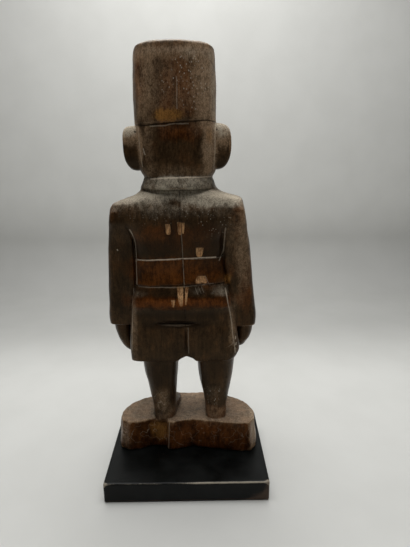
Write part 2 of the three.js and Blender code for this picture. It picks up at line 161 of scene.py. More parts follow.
# Where each shoe stands across, and how far its toe turns in
SHOES = {"left": (19.0, 0.16), "right": (-24.2, 0.0)}
SIDES = {"left": 1, "right": -1}

# Ears: x at the head, middle y and z, reach, height above and below the middle, squareness above
EARS = {"left": (33.4, -14.5, 265, 10, 14.2, 19, 3.8), "right": (-24.5, -14.5, 265.5, 10.6, 15.2, 18.8, 2.8)}
EAR_HALF_DEPTH = 12.0

# The rough block that the feet stand on: a back edge with its notch, and a half-round front
BLOCK_LOW, BLOCK_HIGH = 17.3, 44.6
BLOCK_BACK = [
    (56, 4.4), (49.5, 7.8), (43, 7.4), (28.6, 2.8), (18.4, 3.2), (16.6, 7.2), (12, 8.6),
    (4, 6.2), (-5, 4.6), (-20, 7.4), (-43, 11.6), (-53, 10.5), (-58, 4.6),
]
BLOCK_MIDDLE = (-0.5, -1.0)
BLOCK_REACH_LOW, BLOCK_REACH_HIGH, BLOCK_SQUARENESS = (58.8, 38.2), (56.7, 36.4), 2.25
BLOCK_POINTS = 31

# The centre line down cap, head and back drifts a little as it goes down
MIDLINE_HEIGHTS = (104, 126, 151, 190, 208, 233, 254, 318)
MIDLINE_PLACES = (0.0, 0.1, 0.8, 1.9, 2.6, 2.8, 3.8, 3.0)

# The crease under the seat of the coat
CREASE_X, CREASE_Z, CREASE_HALF, CREASE_DEPTH = 6.7, 130.2, 18.4, 2.6

FACE_X = 4.8
EYE_HALF = 5.2
BROW_Z, EYE_Z, NOSE_Z, MOUTH_Z, CHIN_Z = 275.6, 270.2, 259.6, 253.0, 246.0
OPENING_X = 2.4
BUTTON_HEIGHTS = (113, 131, 149, 196, 212, 224)

# Fresh gouges in the back: top as x, z and half width, the same at the bottom, then depth
CHIPS = [
    (11.7, 209, 2, 11.4, 200.8, 2, 0.9), (3.2, 210.4, 1.8, 3, 200.6, 1.5, 0.9),
    (0.3, 210, 1.2, 0.6, 201.5, 0.8, 0.7), (-11.6, 190.8, 3.3, -11.2, 183.2, 2.4, 0.7),
    (-12.8, 168.6, 3.4, -12.4, 162.6, 5.8, 0.8), (3.8, 160.4, 3, 3, 145, 1.6, 1),
    (-1.4, 160.2, 1.7, -0.4, 146.5, 0.6, 0.9), (9.1, 150.6, 2, 9.2, 144.4, 0.5, 0.6),
]

# Where the sleeves meet the back: a cut's half width and depth, then points as x and z
ARMPITS = [
    (0.7, 0.9, [(42, 206.5), (40.2, 201.2), (38.8, 194.3), (39, 181.4), (39.4, 161)]),
    (0.7, 0.8, [(-31.4, 207), (-30.4, 187.5), (-30.8, 172), (-33.6, 159)]),
]

# Soft patches of colour on the wood: middle x and z, half width, half height, amount. Some kinds are painted
# light or shade, as noted at each
PATCHES = {
    "warm": [
        (6, 198, 30, 9, 0.65), (7, 172, 34, 10, 1), (5, 148, 36, 4.5, 1.2), (-39, 210, 4, 15, 0.3),
        (-48, 157, 5, 23, 0.4), (0, 273, 14, 5, 0.9), (6, 302, 11, 23, 0.5), (29, 309, 4, 17, 0.5),
        (-6, 293, 8, 10, 0.6), (-2, 31, 61, 15, 1.2), (52, 219, 4, 9, 0.2), (-23, 52, 12, 4, 0.5),
    ],
    # pale: pale wear and dust, and painted light on the side facets of coat, sleeve and block, on the sides
    # of cap and head and on the man's right shoulder
    "pale": [
        (6, 304, 34, 30, 0.45), (24, 304, 6, 27, 0.35), (-17, 303, 8, 27, 0.7), (38, 304, 5, 27, 0.3),
        (30.4, 263, 1.8, 15, 1), (-19, 262, 5, 17, 1.25), (6, 323, 30, 4, 0.6), (5, 246, 26, 4, 0.4),
        (24, 262, 5, 18, 0.4), (37, 273, 6, 8, 1.5), (-29, 273, 7, 11, 1.4), (-31, 229, 13, 4, 0.9),
        (-37, 130, 3, 22, 0.6), (41, 128, 3, 28, 0.6), (20, 63, 5, 9, 0.7), (-46, 190, 5, 40, 0.7),
        (-37, 196, 6, 22, 0.35), (53, 33, 5, 16, 0.4), (-56, 34, 4, 18, 1.1), (-10, 50, 40, 7, 0.5),
        (0, 31, 60, 12, 0.15),
    ],
    # dust: dust, and painted highlight on the tops of shoulders and collar and on the cap's right side
    "dust_and_sheen": [
        (-18, 303, 7, 25, 0.25), (-4, 320, 7, 4, 0.25), (8, 324, 30, 3, 0.3), (4, 238, 28, 5, 0.85),
        (32, 227, 19, 4, 0.42), (-24, 227, 19, 4.4, 1.1), (10, 230, 24, 4, 0.9), (6, 219, 40, 6, 0.35),
        (-57, 36, 4, 16, 0.4), (-27, 158, 7, 4, 0.35), (-10, 157, 6, 3, 0.25), (-21, 67, 8, 11, 0.25),
        (38, 275, 6, 5, 0.8), (-20, 262, 5, 17, 0.25), (-24, 303, 4, 27, 0.35), (-29, 275, 6, 6, 0.65),
    ],
    # dark: painted shade under the seat's ridge and the belt, in the crease, below the ears, on the man's
    # left sleeve and the backs of the legs, with some dark stain
    "dark_and_shade": [
        (6, 138, 38, 4, 0.9), (40, 250, 9, 8, 1.3), (-31, 247.5, 9, 6, 1.3), (43.6, 262, 1, 14, 1.2),
        (0, 190, 30, 7, 0.6), (0, 204, 34, 8, 0.45), (-20, 190, 10, 16, 0.5), (9, 260, 16, 9, 0.2),
        (47, 180, 8, 40, 0.5), (24, 189, 14, 6, 0.8), (22, 156, 14, 5, 0.6), (-14, 156, 14, 4, 0.5),
        (22, 47, 8, 6, 0.9), (5, 115, 40, 18, 0.25), (20, 85, 12, 14, 0.8), (6.7, 129.8, 19, 2.6, 2.2),
        (-24, 88, 12, 10, 0.5),
    ],
    "ochre": [(9.3, 284, 11, 3.6, 1.2), (24, 33, 8, 9, 0.9), (-33, 164, 3, 4, 0.9), (-19, 271, 3, 6, 0.5)],
    "red": [
        (3, 148.5, 34, 3.5, 1), (-42, 216, 1.6, 9, 0.35), (6, 172, 32, 9, 0.35), (4, 299, 12, 18, 0.35),
        (30, 309, 2.5, 18, 0.5), (4, 273, 12, 4, 0.5), (-8, 31, 44, 12, 0.55), (6, 204, 24, 8, 0.35),
    ],
    # painted light on the block's top between the feet
    "painted_light_between_feet": [(-4, 44, 14, 6, 1)],
    "specks": [
        (-4, 316, 9, 6, 1.1), (-15, 305, 8, 7, 0.8), (8, 304, 9, 7, 0.6), (-7, 292, 7, 7, 0.6),
        (27, 302, 5, 9, 0.3), (6, 216, 42, 9, 0.35), (-28, 205, 12, 10, 0.3), (48, 195, 6, 24, 0.1),
        (-20, 67, 8, 10, 0.6),
    ],
    "curls": [
        (38, 31, 20, 9, 1), (-2, 31, 24, 9, 0.6), (-44, 31, 12, 9, 0.7), (22, 61, 6, 8, 1),
        (-37, 112, 4, 8, 1),
    ],
}

# Fine strokes on the back: strength, half width, then points as x and z. Pale strokes are partly painted
# highlight, dark strokes partly painted shadow, as noted at each
# Each ends a reach beyond its half width, and fades out over a width
STROKE_REACH, STROKE_FADE = 0.3, 0.5
STROKES = {
    # pale: scratches, dust lines and seam lines, and painted highlight along the tops of belt and collar,
    # the edges of the sleeves and the sides of the head
    "pale": [
        (1, 0.3, [(36.8, 181.2), (6.4, 182.5), (-23.2, 183.5)]),
        (0.6, 0.3, [(40.6, 205), (38.8, 201.2), (37.4, 194.3), (37.6, 181.4), (38, 161.4)]),
        (0.3, 0.4, [(-30.4, 205.7), (-29.5, 187.5), (-26, 180.6)]),
        (0.25, 0.3, [(37.3, 160.6), (5.2, 160.2), (-21.6, 162.9)]),
        (0.7, 0.3, [(24, 241.4), (4.9, 242.4), (-21.5, 242.8)]),
        (0.45, 0.3, [(22.6, 277.4), (12, 277.6), (8, 278.6), (-3.9, 278.8)]),
        (0.45, 0.15, [(3.2, 308), (3.4, 288.1)]),
        (0.45, 0.35, [(-30.7, 158.3), (-35.5, 133.8), (-37.4, 116.9), (-39.2, 105.3)]),
        (0.45, 0.4, [(-18.4, 233), (-42, 226.6)]), (0.3, 0.2, [(-20, 229.8), (-41, 224)]),
        (0.4, 0.2, [(2.5, 206), (1.9, 190), (0.9, 160)]), (0.2, 0.3, [(-1.4, 127), (-1.8, 106)]),
        (0.35, 0.3, [(31.6, 277), (31, 262), (29.6, 250)]),
        (0.4, 0.3, [(-22.8, 277), (-22.8, 262), (-22, 248)]), (0.6, 0.3, [(28.2, 262.5), (27.2, 258.5)]),
        (0.35, 0.3, [(15.4, 43.5), (16.6, 19)]), (0.3, 0.2, [(9.6, 24.4), (4.2, 20.8)]),
        (0.5, 0.2, [(40.8, 158), (42, 142), (43.6, 108)]), (0.25, 0.15, [(-7.5, 160), (-9.5, 155)]),
        (0.25, 0.15, [(-10, 160.4), (-12, 155.5)]), (0.25, 0.15, [(-12.3, 160.6), (-14, 156.5)]),
        (0.3, 0.2, [(-15.2, 169), (-18.4, 162)]), (0.8, 0.3, [(51.2, 189.5), (51, 188.9)]),
        (0.7, 0.4, [(-39.2, 118.6), (-39, 117)]), (0.7, 0.4, [(-39.6, 113.4), (-39.4, 112)]),
    ],
    # dark: dark seam lines, and painted shadow under the collar and the cap's rim, in the crease under the
    # seat and where the ears meet the head
    "dark_and_shade": [
        (0.5, 0.2, [(29.3, 232.6), (5.1, 233.1), (-18.4, 233.7)]),
        (0.85, 0.4, [(33.2, 278.8), (26.9, 277.8), (13.2, 278.9), (-16.1, 281.2), (-23.9, 281)]),
        (0.6, 0.2, [(3.4, 242), (2.9, 216)]), (0.5, 0.2, [(0.6, 150), (0.6, 129.5), (0.2, 104)]),
        (0.95, 0.8, [(21, 130.5), (8, 129.9), (-5, 130.7)]), (0.7, 0.2, [(28, 130.6), (-11, 131)]),
        (0.4, 0.1, [(3, 322), (3, 286), (3.6, 246)]), (0.95, 0.6, [(34.4, 274.5), (34.2, 274.1)]),
        (0.95, 0.5, [(-24.2, 275.7), (-24.2, 275.3)]),
        (0.6, 0.2, [(-30.1, 278.7), (-32.5, 275), (-33.4, 270.4), (-32.2, 265.8), (-31.9, 259.8)]),
    ],
}

Shape = namedtuple("Shape", "low high distance")


def smooth_min(a, b, blend):
    """The lower of two distances, with the crease between them filled over a width."""
    if blend <= 0:
        return np.minimum(a, b)
    near = np.maximum(blend - np.abs(a - b), 0) / blend
    return np.minimum(a, b) - near * near * blend * 0.25


def smooth_max(a, b, blend):
    return -smooth_min(-a, -b, blend)


def floats(values):
    return np.asarray(values, np.float32)


def curve(at, places, values):
    """Values between the places where they are given, along straight lines."""
    return floats(np.interp(at, places, values))


def ease(value, low, high):
    """Runs from 0 at low to 1 at high, with flat ends."""
    share = np.clip((value - low) / (high - low), 0, 1)
    return share * share * (3 - 2 * share)


def smoothed(rows):
    """The rows of a section table, filled in by a curve that never overshoots a row."""
    rows = np.array(rows, float)
    level, values = rows[:, 0], rows[:, 1:]
    gaps = np.diff(level)
    slope = np.diff(values, axis=0) / gaps[:, None]
    same_way = slope[1:] * slope[:-1] > 0
    total = np.where(same_way, slope[1:] + slope[:-1], 1)
    tangent = np.zeros_like(values)
    tangent[1:-1] = np.where(same_way, 2 * slope[1:] * slope[:-1] / total, 0)
    tangent[0], tangent[-1] = slope[0], slope[-1]
    fine = np.arange(level[0], level[-1] + ROW_GAP / 2, ROW_GAP)
    k = np.clip(np.searchsorted(level, fine, side="right") - 1, 0, len(level) - 2)
    t = ((fine - level[k]) / gaps[k])[:, None]
    run = gaps[k][:, None]
    start = (2 * t**3 - 3 * t**2 + 1) * values[k] + (t**3 - 2 * t**2 + t) * run * tangent[k]
    end = (3 * t**2 - 2 * t**3) * values[k + 1] + (t**3 - t**2) * run * tangent[k + 1]
    return floats(fine), floats(start + end)


def rounded_square(across, along, low_a, high_a, low_b, high_b, squareness):
    """Distance from a rounded-square outline given by its four sides, below zero inside it."""
    a = np.abs(across - (low_a + high_a) / 2) + 1e-3
    b = np.abs(along - (low_b + high_b) / 2) + 1e-3
    half_a, half_b = (high_a - low_a) / 2, (high_b - low_b) / 2
    part_a, part_b = (a / half_a) ** squareness, (b / half_b) ** squareness
    total = part_a + part_b
    reach = total ** (1 / squareness)
    steepness = np.hypot(part_a / a, part_b / b) * reach / total
    return (reach - 1) / steepness


def loft_distance(table, across, along, level, rounding):
    fine, values = table
    sides = [curve(level, fine, values[:, i]) for i in range(5)]
    outline = rounded_square(across, along, *sides)
    ends = np.maximum(fine[0] - level, level - fine[-1])
    return smooth_max(outline, ends, rounding)


def upright_loft(rows, slopes=(0.0, 0.0), rounding=0.8):
    """A body from a section table, whose lowest and highest sections may slope across."""
    table = smoothed(rows)
    box = np.array(rows)
    middle = np.float32((box[0, 1] + box[0, 2]) / 2)
    low, high = box.min(axis=0)[[1, 3, 0]], box.max(axis=0)[[2, 4, 0]]
    lift = np.abs(slopes).max() * (high[0] - low[0]) / 2

    def distance(x, y, z):
        level = z - curve(z, (low[2], high[2]), slopes) * (x - middle)
        return loft_distance(table, x, y, level, rounding)

    return Shape(low - (0, 0, lift), high + (0, 0, lift), distance)


def row_at(rows, height):
    fine, values = smoothed(rows)
    return (height, *(float(np.interp(height, fine, values[:, i])) for i in range(5)))


def front_at(rows, x, z):
    """Where a table's front surface lies at a place across and a height."""
    _, right, left, front, back, n = row_at(rows, z)
    across = abs((2 * x - left - right) / (left - right))
    return (front + back) / 2 - (back - front) / 2 * (1 - across**n) ** (1 / n)


def egg(middle, halves):
    middle, halves = floats(middle), floats(halves)

    def distance(x, y, z):
        parts = [(value - middle[i]) / halves[i] for i, value in enumerate((x, y, z))]
        near = np.sqrt(sum(part * part for part in parts)) + 1e-4
        steepness = np.sqrt(sum((part / halves[i]) ** 2 for i, part in enumerate(parts))) + 1e-4
        return near * (near - 1) / steepness

    return Shape(middle - halves, middle + halves, distance)


def rod(start, end, start_radius, end_radius):
    """A round rod with ball ends, which may taper."""
    start, end = floats(start), floats(end)
    run = end - start
    most = max(start_radius, end_radius)

    def distance(x, y, z):
        offsets = [value - start[i] for i, value in enumerate((x, y, z))]
        share = sum(offset * run[i] for i, offset in enumerate(offsets)) / float(run @ run)
        share = np.clip(share, 0, 1)
        gap = np.sqrt(sum((offset - share * run[i]) ** 2 for i, offset in enumerate(offsets)))
        return gap - (start_radius + (end_radius - start_radius) * share)

    return Shape(np.minimum(start, end) - most, np.maximum(start, end) + most, distance)


def slab(middle, halves, rounding):
    middle, halves = floats(middle), floats(halves) - rounding

    def distance(x, y, z):
        gaps = [np.abs(value - middle[i]) - halves[i] for i, value in enumerate((x, y, z))]
        outside = np.sqrt(sum(np.maximum(gap, 0) ** 2 for gap in gaps))
        inside = np.minimum(np.maximum(np.maximum(gaps[0], gaps[1]), gaps[2]), 0)
        return outside + inside - rounding

    return Shape(middle - halves - rounding, middle + halves + rounding, distance)


def segment_gap(start, end, x, y):
    """Squared distance from a straight line between two points."""
    (ax, ay), (bx, by) = start, end
    ex, ey = bx - ax, by - ay
    share = np.clip(((x - ax) * ex + (y - ay) * ey) / (ex * ex + ey * ey), 0, 1)
    return (x - ax - share * ex) ** 2 + (y - ay - share * ey) ** 2


def trail_gap(points, x, y):
    """Distance from a line drawn through points, up to a limit."""
    nearest = FAR**2
    for start, end in zip(points, points[1:]):
        nearest = np.minimum(nearest, segment_gap(start, end, x, y))
    return np.sqrt(nearest)


def outline_distance(points, x, y):
    """Distance from a closed outline of straight edges, below zero inside it."""
    nearest, inside = np.inf, False
    for start, end in zip(points, points[1:] + points[:1]):
        nearest = np.minimum(nearest, segment_gap(start, end, x, y))
        (ax, ay), (bx, by) = start, end
        if ay != by:
            inside = inside ^ ((ay > y) != (by > y)) & (x < ax + (bx - ax) * (y - ay) / (by - ay))
    return np.where(inside, -1, 1) * np.sqrt(nearest)


def between_corners(values, cell, share):
    """A block's values at places inside its cells, by straight interpolation; the block repeats."""
    total = 0
    for corner in np.ndindex(2, 2, 2):
        weight = np.prod(np.where(corner, share, 1 - share), axis=1)
        index = (cell + corner) % values.shape
        total = total + weight * values[tuple(index.T)]
    return total


def rough_noise(seed, points, size, layers):
    """Smooth random values from a repeating lattice, with finer layers added to a coarse one."""
    values = floats(np.random.default_rng(seed).uniform(-1, 1, (64, 64, 64)))
    total = 0
    for k in range(layers):
        place = (points + 7.3 * k) / floats(np.array(size) / 2**k)
        cell = np.floor(place).astype(int)
        total = total + between_corners(values, cell, ease(place - cell, 0, 1)) / 2**k
    return total


def tool_marks(points, size, seed):
    """Distance to the middle of the nearest scoop of a gouge, in scoop sizes, squared."""
    shifts = floats(np.random.default_rng(seed).uniform(-0.4, 0.4, (32, 32, 32, 3)))
    place = points / floats(size)
    cell = np.floor(place).astype(int)
    nearest = np.full(len(points), 9.0, np.float32)
    for step in np.ndindex(3, 3, 3):
        other = cell + step - 1
        middle = other + 0.5 + shifts[tuple(other.T % 32)]
        nearest = np.minimum(nearest, ((place - middle) ** 2).sum(axis=1))
    return nearest


class Clay:
    """A block of points in space, each holding its distance from the surface: below zero is wood."""

    def __init__(self, low, high, step):
        self.low, self.step = floats(low), step
        counts = [int(round((high[i] - low[i]) / step)) + 1 for i in range(3)]
        self.axes = [low[i] + step * np.arange(counts[i], dtype=np.float32) for i in range(3)]
        self.field = np.full(counts, FAR, np.float32)

    def window(self, low, high):
        cuts = tuple(slice(*np.searchsorted(axis, ends)) for axis, *ends in zip(self.axes, low, high))
        x, y, z = (axis[cut] for axis, cut in zip(self.axes, cuts))
        return cuts, x[:, None, None], y[:, None], z

    def add(self, shape, blend=0.0):
        cuts, x, y, z = self.window(shape.low - FAR, shape.high + FAR)
        distance = np.clip(shape.distance(x, y, z), -FAR * 2, FAR)
        self.field[cuts] = smooth_min(self.field[cuts], distance, blend)

    def cut(self, shape, blend=0.0):
        cuts, x, y, z = self.window(shape.low - FAR, shape.high + FAR)
        distance = np.clip(shape.distance(x, y, z), -FAR, FAR * 2)
        self.field[cuts] = smooth_max(self.field[cuts], -distance, blend)

    def press(self, low, high, depth_at):
        """Moves the surface inwards by a depth that depends on the place."""
        cuts, x, y, z = self.window(low, high)
        self.field[cuts] += depth_at(x, y, z)

    def skin(self):
        grid = openvdb.FloatGrid(FAR)
        grid.copyFromArray(np.clip(self.field, -FAR, FAR))
        points, _, quads = grid.convertToPolygons(isovalue=0.0, adaptivity=0.0)
        return points * self.step + self.low, quads

    def bulge(self, points, reach):
        """How far the surface stands out from, or lies below, its surroundings within a reach."""
        step = 2 * self.step
        blurred = np.clip(self.field[::2, ::2, ::2], -reach, reach)
        width = max(1, int(round(reach / step)))
        span = 2 * width + 1
        for axis in (0, 1, 2) * 2:
            margins = [(width + 1, width) if a == axis else (0, 0) for a in range(3)]
            total = np.cumsum(np.pad(blurred, margins, "edge"), axis=axis, dtype=np.float64)
            high = np.take(total, range(span, total.shape[axis]), axis)
            low = np.take(total, range(0, total.shape[axis] - span), axis)
            blurred = floats((high - low) / span)
        place = (points - self.low) / step
        cell = np.clip(np.floor(place).astype(int), 0, np.array(blurred.shape) - 2)
        return between_corners(blurred, cell, np.clip(place - cell, 0, 1)) / reach


def midline(z):
    return curve(z, MIDLINE_HEIGHTS, MIDLINE_PLACES)


def chip_share(x, z):
    """1 in a fresh gouge and 0 outside them all, its depth, and how far down it a place lies."""
    most, depth, lowest = 0, 0, 0
    for top_x, top_z, top_half, low_x, low_z, low_half, chip_depth in CHIPS:
        down = (top_z - z) / (top_z - low_z)
        along = np.clip(down, 0, 1)
        half = (top_half + (low_half - top_half) * along) * np.sqrt(1 - 0.6 * ease(along, 0.7, 1.05))
        gap = np.abs(x - top_x - (low_x - top_x) * along) / half
        share = ease(-gap, -1.1, -0.75) * ease(down, -0.05, 0.05) * ease(-down, -1.05, -0.92)
        depth = np.maximum(depth, share * chip_depth * np.sqrt(np.clip(1 - gap * gap, 0.2, 1)))
        lowest = np.maximum(lowest, share * along)
        most = np.maximum(most, share)
    return most, depth, lowest


def groove(offset, half_width):
    """A V-shaped cut across an offset, from 1 in its middle to 0 at its sides."""
    return np.clip(1 - np.abs(offset) / half_width, 0, 1)


def with_facets(shape):
    """The coat's body with a flat facet along each back corner, below the belt."""
    heights, left_take, right_take = np.array(COAT_FACETS).T
    fine, values = smoothed(COAT)
    across, along = math.sin(math.radians(FACET_TURN)), math.cos(math.radians(FACET_TURN))

    def distance(x, y, z):
        right, left, back = (curve(z, fine, values[:, i]) for i in (0, 1, 3))
        left_edge = left - curve(z, heights, left_take)
        right_edge = right + curve(z, heights, right_take)
        facets = np.maximum(x - left_edge, right_edge - x) * across + (y - back) * along
        share = curve(z, heights[-2:], (0, FAR))
        return smooth_max(shape.distance(x, y, z), facets - share, 0.5)

    return Shape(shape.low, shape.high, distance)


def carve_coat(clay):
    clay.add(with_facets(upright_loft(COAT, rounding=1.2)))
    rows = [row_at(COAT, z) for z in np.linspace(BELT_LOW, BELT_HIGH, 7)]
    band = np.array(rows) + BELT_PROUD * np.array((0, -1, 1, -1, 1, 0))
    clay.add(upright_loft(band, (BELT_SLOPE, BELT_SLOPE), rounding=0.5), 0.3)
    clay.add(upright_loft(COLLAR, rounding=1.0), 0.6)


def carve_back_lines(clay):
    """The centre line, the crease under the seat, the vent and the edges of belt and collar."""
    behind = -6

    def seam(x, y, z):
        return np.where(z < 233, 1.0, 0.3) * groove(x - midline(z), 0.8)

    clay.press((-4, behind, 134), (9, 15, 329), seam)

    def crease(x, y, z):
        along = np.clip(1 - ((x - CREASE_X) / CREASE_HALF) ** 2, 0, 1)
        return CREASE_DEPTH * along * groove(z - CREASE_Z - 0.01 * (x - 5), 0.6 + 1.9 * along)

    clay.press((-15, behind, 126), (25, 15, 137), crease)

    def vent(x, y, z):
        open_share = ease(-z, -130.5, -120)
        return 1.9 * open_share * groove(x - midline(z), 1.2 + 1.4 * ease(-z, -118, -99))

    clay.press((-6, behind, 90), (8, 15, 131), vent)
    clay.cut(egg((-0.6, 8, 93.5), (8.5, 12, 8.4)), 1.5)

    def under_collar(x, y, z):
        reach = ease(x, -24, -16) * ease(-x, -36, -28)
        return 0.6 * reach * groove(z - 233.4, 0.7)

    clay.press((-26, behind, 231), (36, 15, 236), under_collar)

    def under_belt(x, y, z):
        return 0.5 * groove(z - BELT_SLOPE * (x - 4) - BELT_LOW + 0.5, 0.8)

    clay.press((-36, behind, 155), (42, 15, 170), under_belt)
    clay.press((-20, behind, 140), (18, 15, 214), lambda x, y, z: chip_share(x, z)[1])
    for half_width, depth, points in ARMPITS:
        carve_trail(clay, half_width, depth, points)


def carve_trail(clay, half_width, depth, points):
    """A cut in the back along a line through points given as x and z."""

    def trail(x, y, z):
        return depth * groove(trail_gap(points, x, z), half_width)

    low, high = np.min(points, axis=0) - 2, np.max(points, axis=0) + 2
    clay.press((low[0], -10, low[1]), (high[0], 12, high[1]), trail)


def carve_block(clay):
    def outline(reach):
        points = []
        for turn in np.linspace(0, math.pi, BLOCK_POINTS):
            across = math.copysign(abs(math.cos(turn)) ** (2 / BLOCK_SQUARENESS), -math.cos(turn))
            ahead = math.sin(turn) ** (2 / BLOCK_SQUARENESS)
            points.append((BLOCK_MIDDLE[0] + reach[0] * across, BLOCK_MIDDLE[1] - reach[1] * ahead))
        stretch = reach[0] / BLOCK_REACH_LOW[0]
        return points + [(x * stretch, y) for x, y in BLOCK_BACK]

    low, high = outline(BLOCK_REACH_LOW), outline(BLOCK_REACH_HIGH)

    def distance(x, y, z):
        at_bottom, at_top = outline_distance(low, x, y), outline_distance(high, x, y)
        share = np.clip((z - BLOCK_LOW) / (BLOCK_HIGH - BLOCK_LOW), 0, 1)
        sides = at_bottom * (1 - share) + at_top * share
        return smooth_max(sides, np.maximum(BLOCK_LOW - z, z - BLOCK_HIGH), 1.2)

    clay.add(Shape(np.array((-60, -40, BLOCK_LOW)), np.array((60, 13, BLOCK_HIGH)), distance), 0.8)
    clay.cut(egg((22.5, 6.5, 45.5), (6.2, 6.5, 5.0)), 0.6)


def shoe(sign, middle, turn):
    table = smoothed(SHOE)

    def distance(x, y, z):
        return loft_distance(table, sign * (x - middle) - turn * y, z, -y, 1.5)

    return Shape(np.array((middle - 16, -33.5, 42)), np.array((middle + 16, 3.5, 56)), distance)


def carve_legs(clay):
    for side, sign in SIDES.items():
        clay.add(upright_loft(LEGS[side]), 1.6)
        clay.add(shoe(sign, *SHOES[side]), 1.4)
    clay.cut(egg((25.5, 5.4, 50), (5.2, 3.2, 8.0)), 0.8)


def carve_fingers(clay, sign, rows):
    """A hand's thumb, and the three lines between its fingers."""
    _, right, left, front, back, _ = row_at(rows, 115)
    middle = (front + back) / 2
    thumb_x, thumb_y = (right + left) / 2 - sign * 1.2, middle - 8.8
    clay.add(rod((thumb_x, thumb_y, 121), (thumb_x - sign * 1.5, thumb_y - 1.2, 108), 3.6, 2.8), 0.7)
    outer = left if sign > 0 else right
    lift = rows[0][0] - HANDS["left"][0][0]

    def lines(x, y, z):
        share = ease(sign * (x - outer), -7, -5) * ease(lift - z, -117, -113)
        return 0.9 * share * sum(groove(y - middle - offset, 0.8) for offset in (-4.6, 0.2, 5.0))

    ends = sorted((outer, outer - sign * 8))
    clay.press((ends[0] - 2, -32, 96), (ends[1] + 2, -4, 120), lines)


def carve_arms(clay):
    for side, sign in SIDES.items():
        clay.add(upright_loft(ARMS[side]), 0.9)
        clay.add(upright_loft(HANDS[side], rounding=1.5), 0.5)
        carve_fingers(clay, sign, HANDS[side])


def carve_ear(clay, sign, x0, y0, z0, reach, above, below, squareness):
    """A thick disc, squarer above than below, domed at its back and hollowed outside."""

    def distance(x, y, z):
        across, height = sign * (x - x0), np.where(z > z0, above, below)
        upper = rounded_square(across, z - z0, -reach, reach, -above, above, squareness)
        lower = rounded_square(across, z - z0, -reach, reach, -below, below, 2.3)
        dome = rounded_square(y - y0, z - z0, -EAR_HALF_DEPTH, EAR_HALF_DEPTH, -height, height, 2.8)
        return smooth_max(np.where(z > z0, upper, lower), dome, 2.6)

    outer = x0 + sign * reach
    ends = sorted((x0 - sign * 6, outer))
    low = np.array((ends[0], y0 - EAR_HALF_DEPTH, z0 - below))
    high = np.array((ends[1], y0 + EAR_HALF_DEPTH, z0 + above))
    clay.add(Shape(low, high, distance), 0.6)
    middle = z0 + (above - below) / 2
    clay.cut(egg((outer + sign * 0.6, y0, middle + 2), (3.6, 7.6, 9.6)), 0.8)
    clay.add(egg((outer - sign * 2.2, y0 - 7.2, middle - 1), (2.4, 3.0, 3.8)), 1.0)
    bow_x = outer - sign * 2.8
    clay.add(rod((bow_x, y0 + 3.8, middle - 3), (bow_x, y0 + 1.8, middle + 7), 1.5, 1.3), 1.2)


def carve_face(clay):
    front = front_at(HEAD, FACE_X, NOSE_Z)
    for sign in (-1, 1):
        eye_x = FACE_X + sign * 2 * EYE_HALF
        surface = front_at(HEAD, eye_x, EYE_Z)
        clay.cut(egg((eye_x - sign * 0.6, surface - 2.2, EYE_Z - 0.2), (7.6, 4.0, 4.6)), 2.4)
        clay.add(egg((eye_x, surface + 2.6, EYE_Z), (EYE_HALF, 2.6, 2.7)), 0.2)
        brow_in = (FACE_X + sign * 4.2, front_at(HEAD, FACE_X, BROW_Z) + 1.6, BROW_Z - 0.4)
        brow_out = (FACE_X + sign * 17, front_at(HEAD, FACE_X + sign * 17, BROW_Z) + 1.9, BROW_Z - 0.6)
        clay.add(rod(brow_in, brow_out, 2.3, 1.7), 1.6)
        cheek_x = FACE_X + sign * 13
        clay.add(egg((cheek_x, front_at(HEAD, cheek_x, NOSE_Z) + 5.0, NOSE_Z + 0.6), (7.5, 6.2, 6.0)), 3.0)
        clay.add(egg((FACE_X + sign * 3.4, front - 0.9, NOSE_Z + 0.8), (2.5, 3.0, 2.3)), 1.2)
    clay.add(rod((FACE_X, front + 0.4, BROW_Z - 1), (FACE_X, front - 1.5, NOSE_Z + 1.6), 2.0, 3.1), 1.4)
    clay.add(egg((FACE_X, front - 1.9, NOSE_Z + 1.3), (3.0, 2.6, 2.5)), 0.8)
    for sign in (-1, 1):
        clay.cut(egg((FACE_X + sign * 2.6, front - 2.2, NOSE_Z - 1.3), (1.2, 1.3, 1.3)), 0.5)
        clay.add(egg((FACE_X + sign * 3.0, front + 0.5, MOUTH_Z + 1.5), (4.8, 2.0, 1.7)), 0.8)
    clay.add(egg((FACE_X, front + 1.3, MOUTH_Z), (9.5, 2.6, 4.6)), 2.4)
    clay.add(egg((FACE_X, front + 0.6, MOUTH_Z - 1.6), (6.6, 2.4, 1.9)), 0.8)
    clay.add(egg((FACE_X, front + 2.6, CHIN_Z + 0.6), (9.0, 4.0, 3.6)), 2.4)

    def mouth_line(x, y, z):
        along = np.clip(1 - ((x - FACE_X) / 8.2) ** 2, 0, 1)
        return 1.1 * np.sqrt(along) * groove(z - MOUTH_Z + 0.1 + 0.006 * (x - FACE_X) ** 2, 0.75)

    clay.press((FACE_X - 9, -46, 248), (FACE_X + 9, -30, 257), mouth_line)

    def eyelids(x, y, z):
        amount = 0
        for sign in (-1, 1):
            dx = (x - FACE_X - sign * 2 * EYE_HALF) / EYE_HALF
            edge = np.sqrt(dx**2 + ((z - EYE_Z) / 2.3) ** 2)
            amount = amount + 0.65 * groove(edge - 0.96, 0.16) * (np.abs(dx) < 1.4)
            amount = amount + 0.35 * groove(z - EYE_Z, 0.5) * np.clip(1 - dx**2, 0, 1)
        return amount

    clay.press((FACE_X - 20, -46, 265), (FACE_X + 20, -28, 275), eyelids)


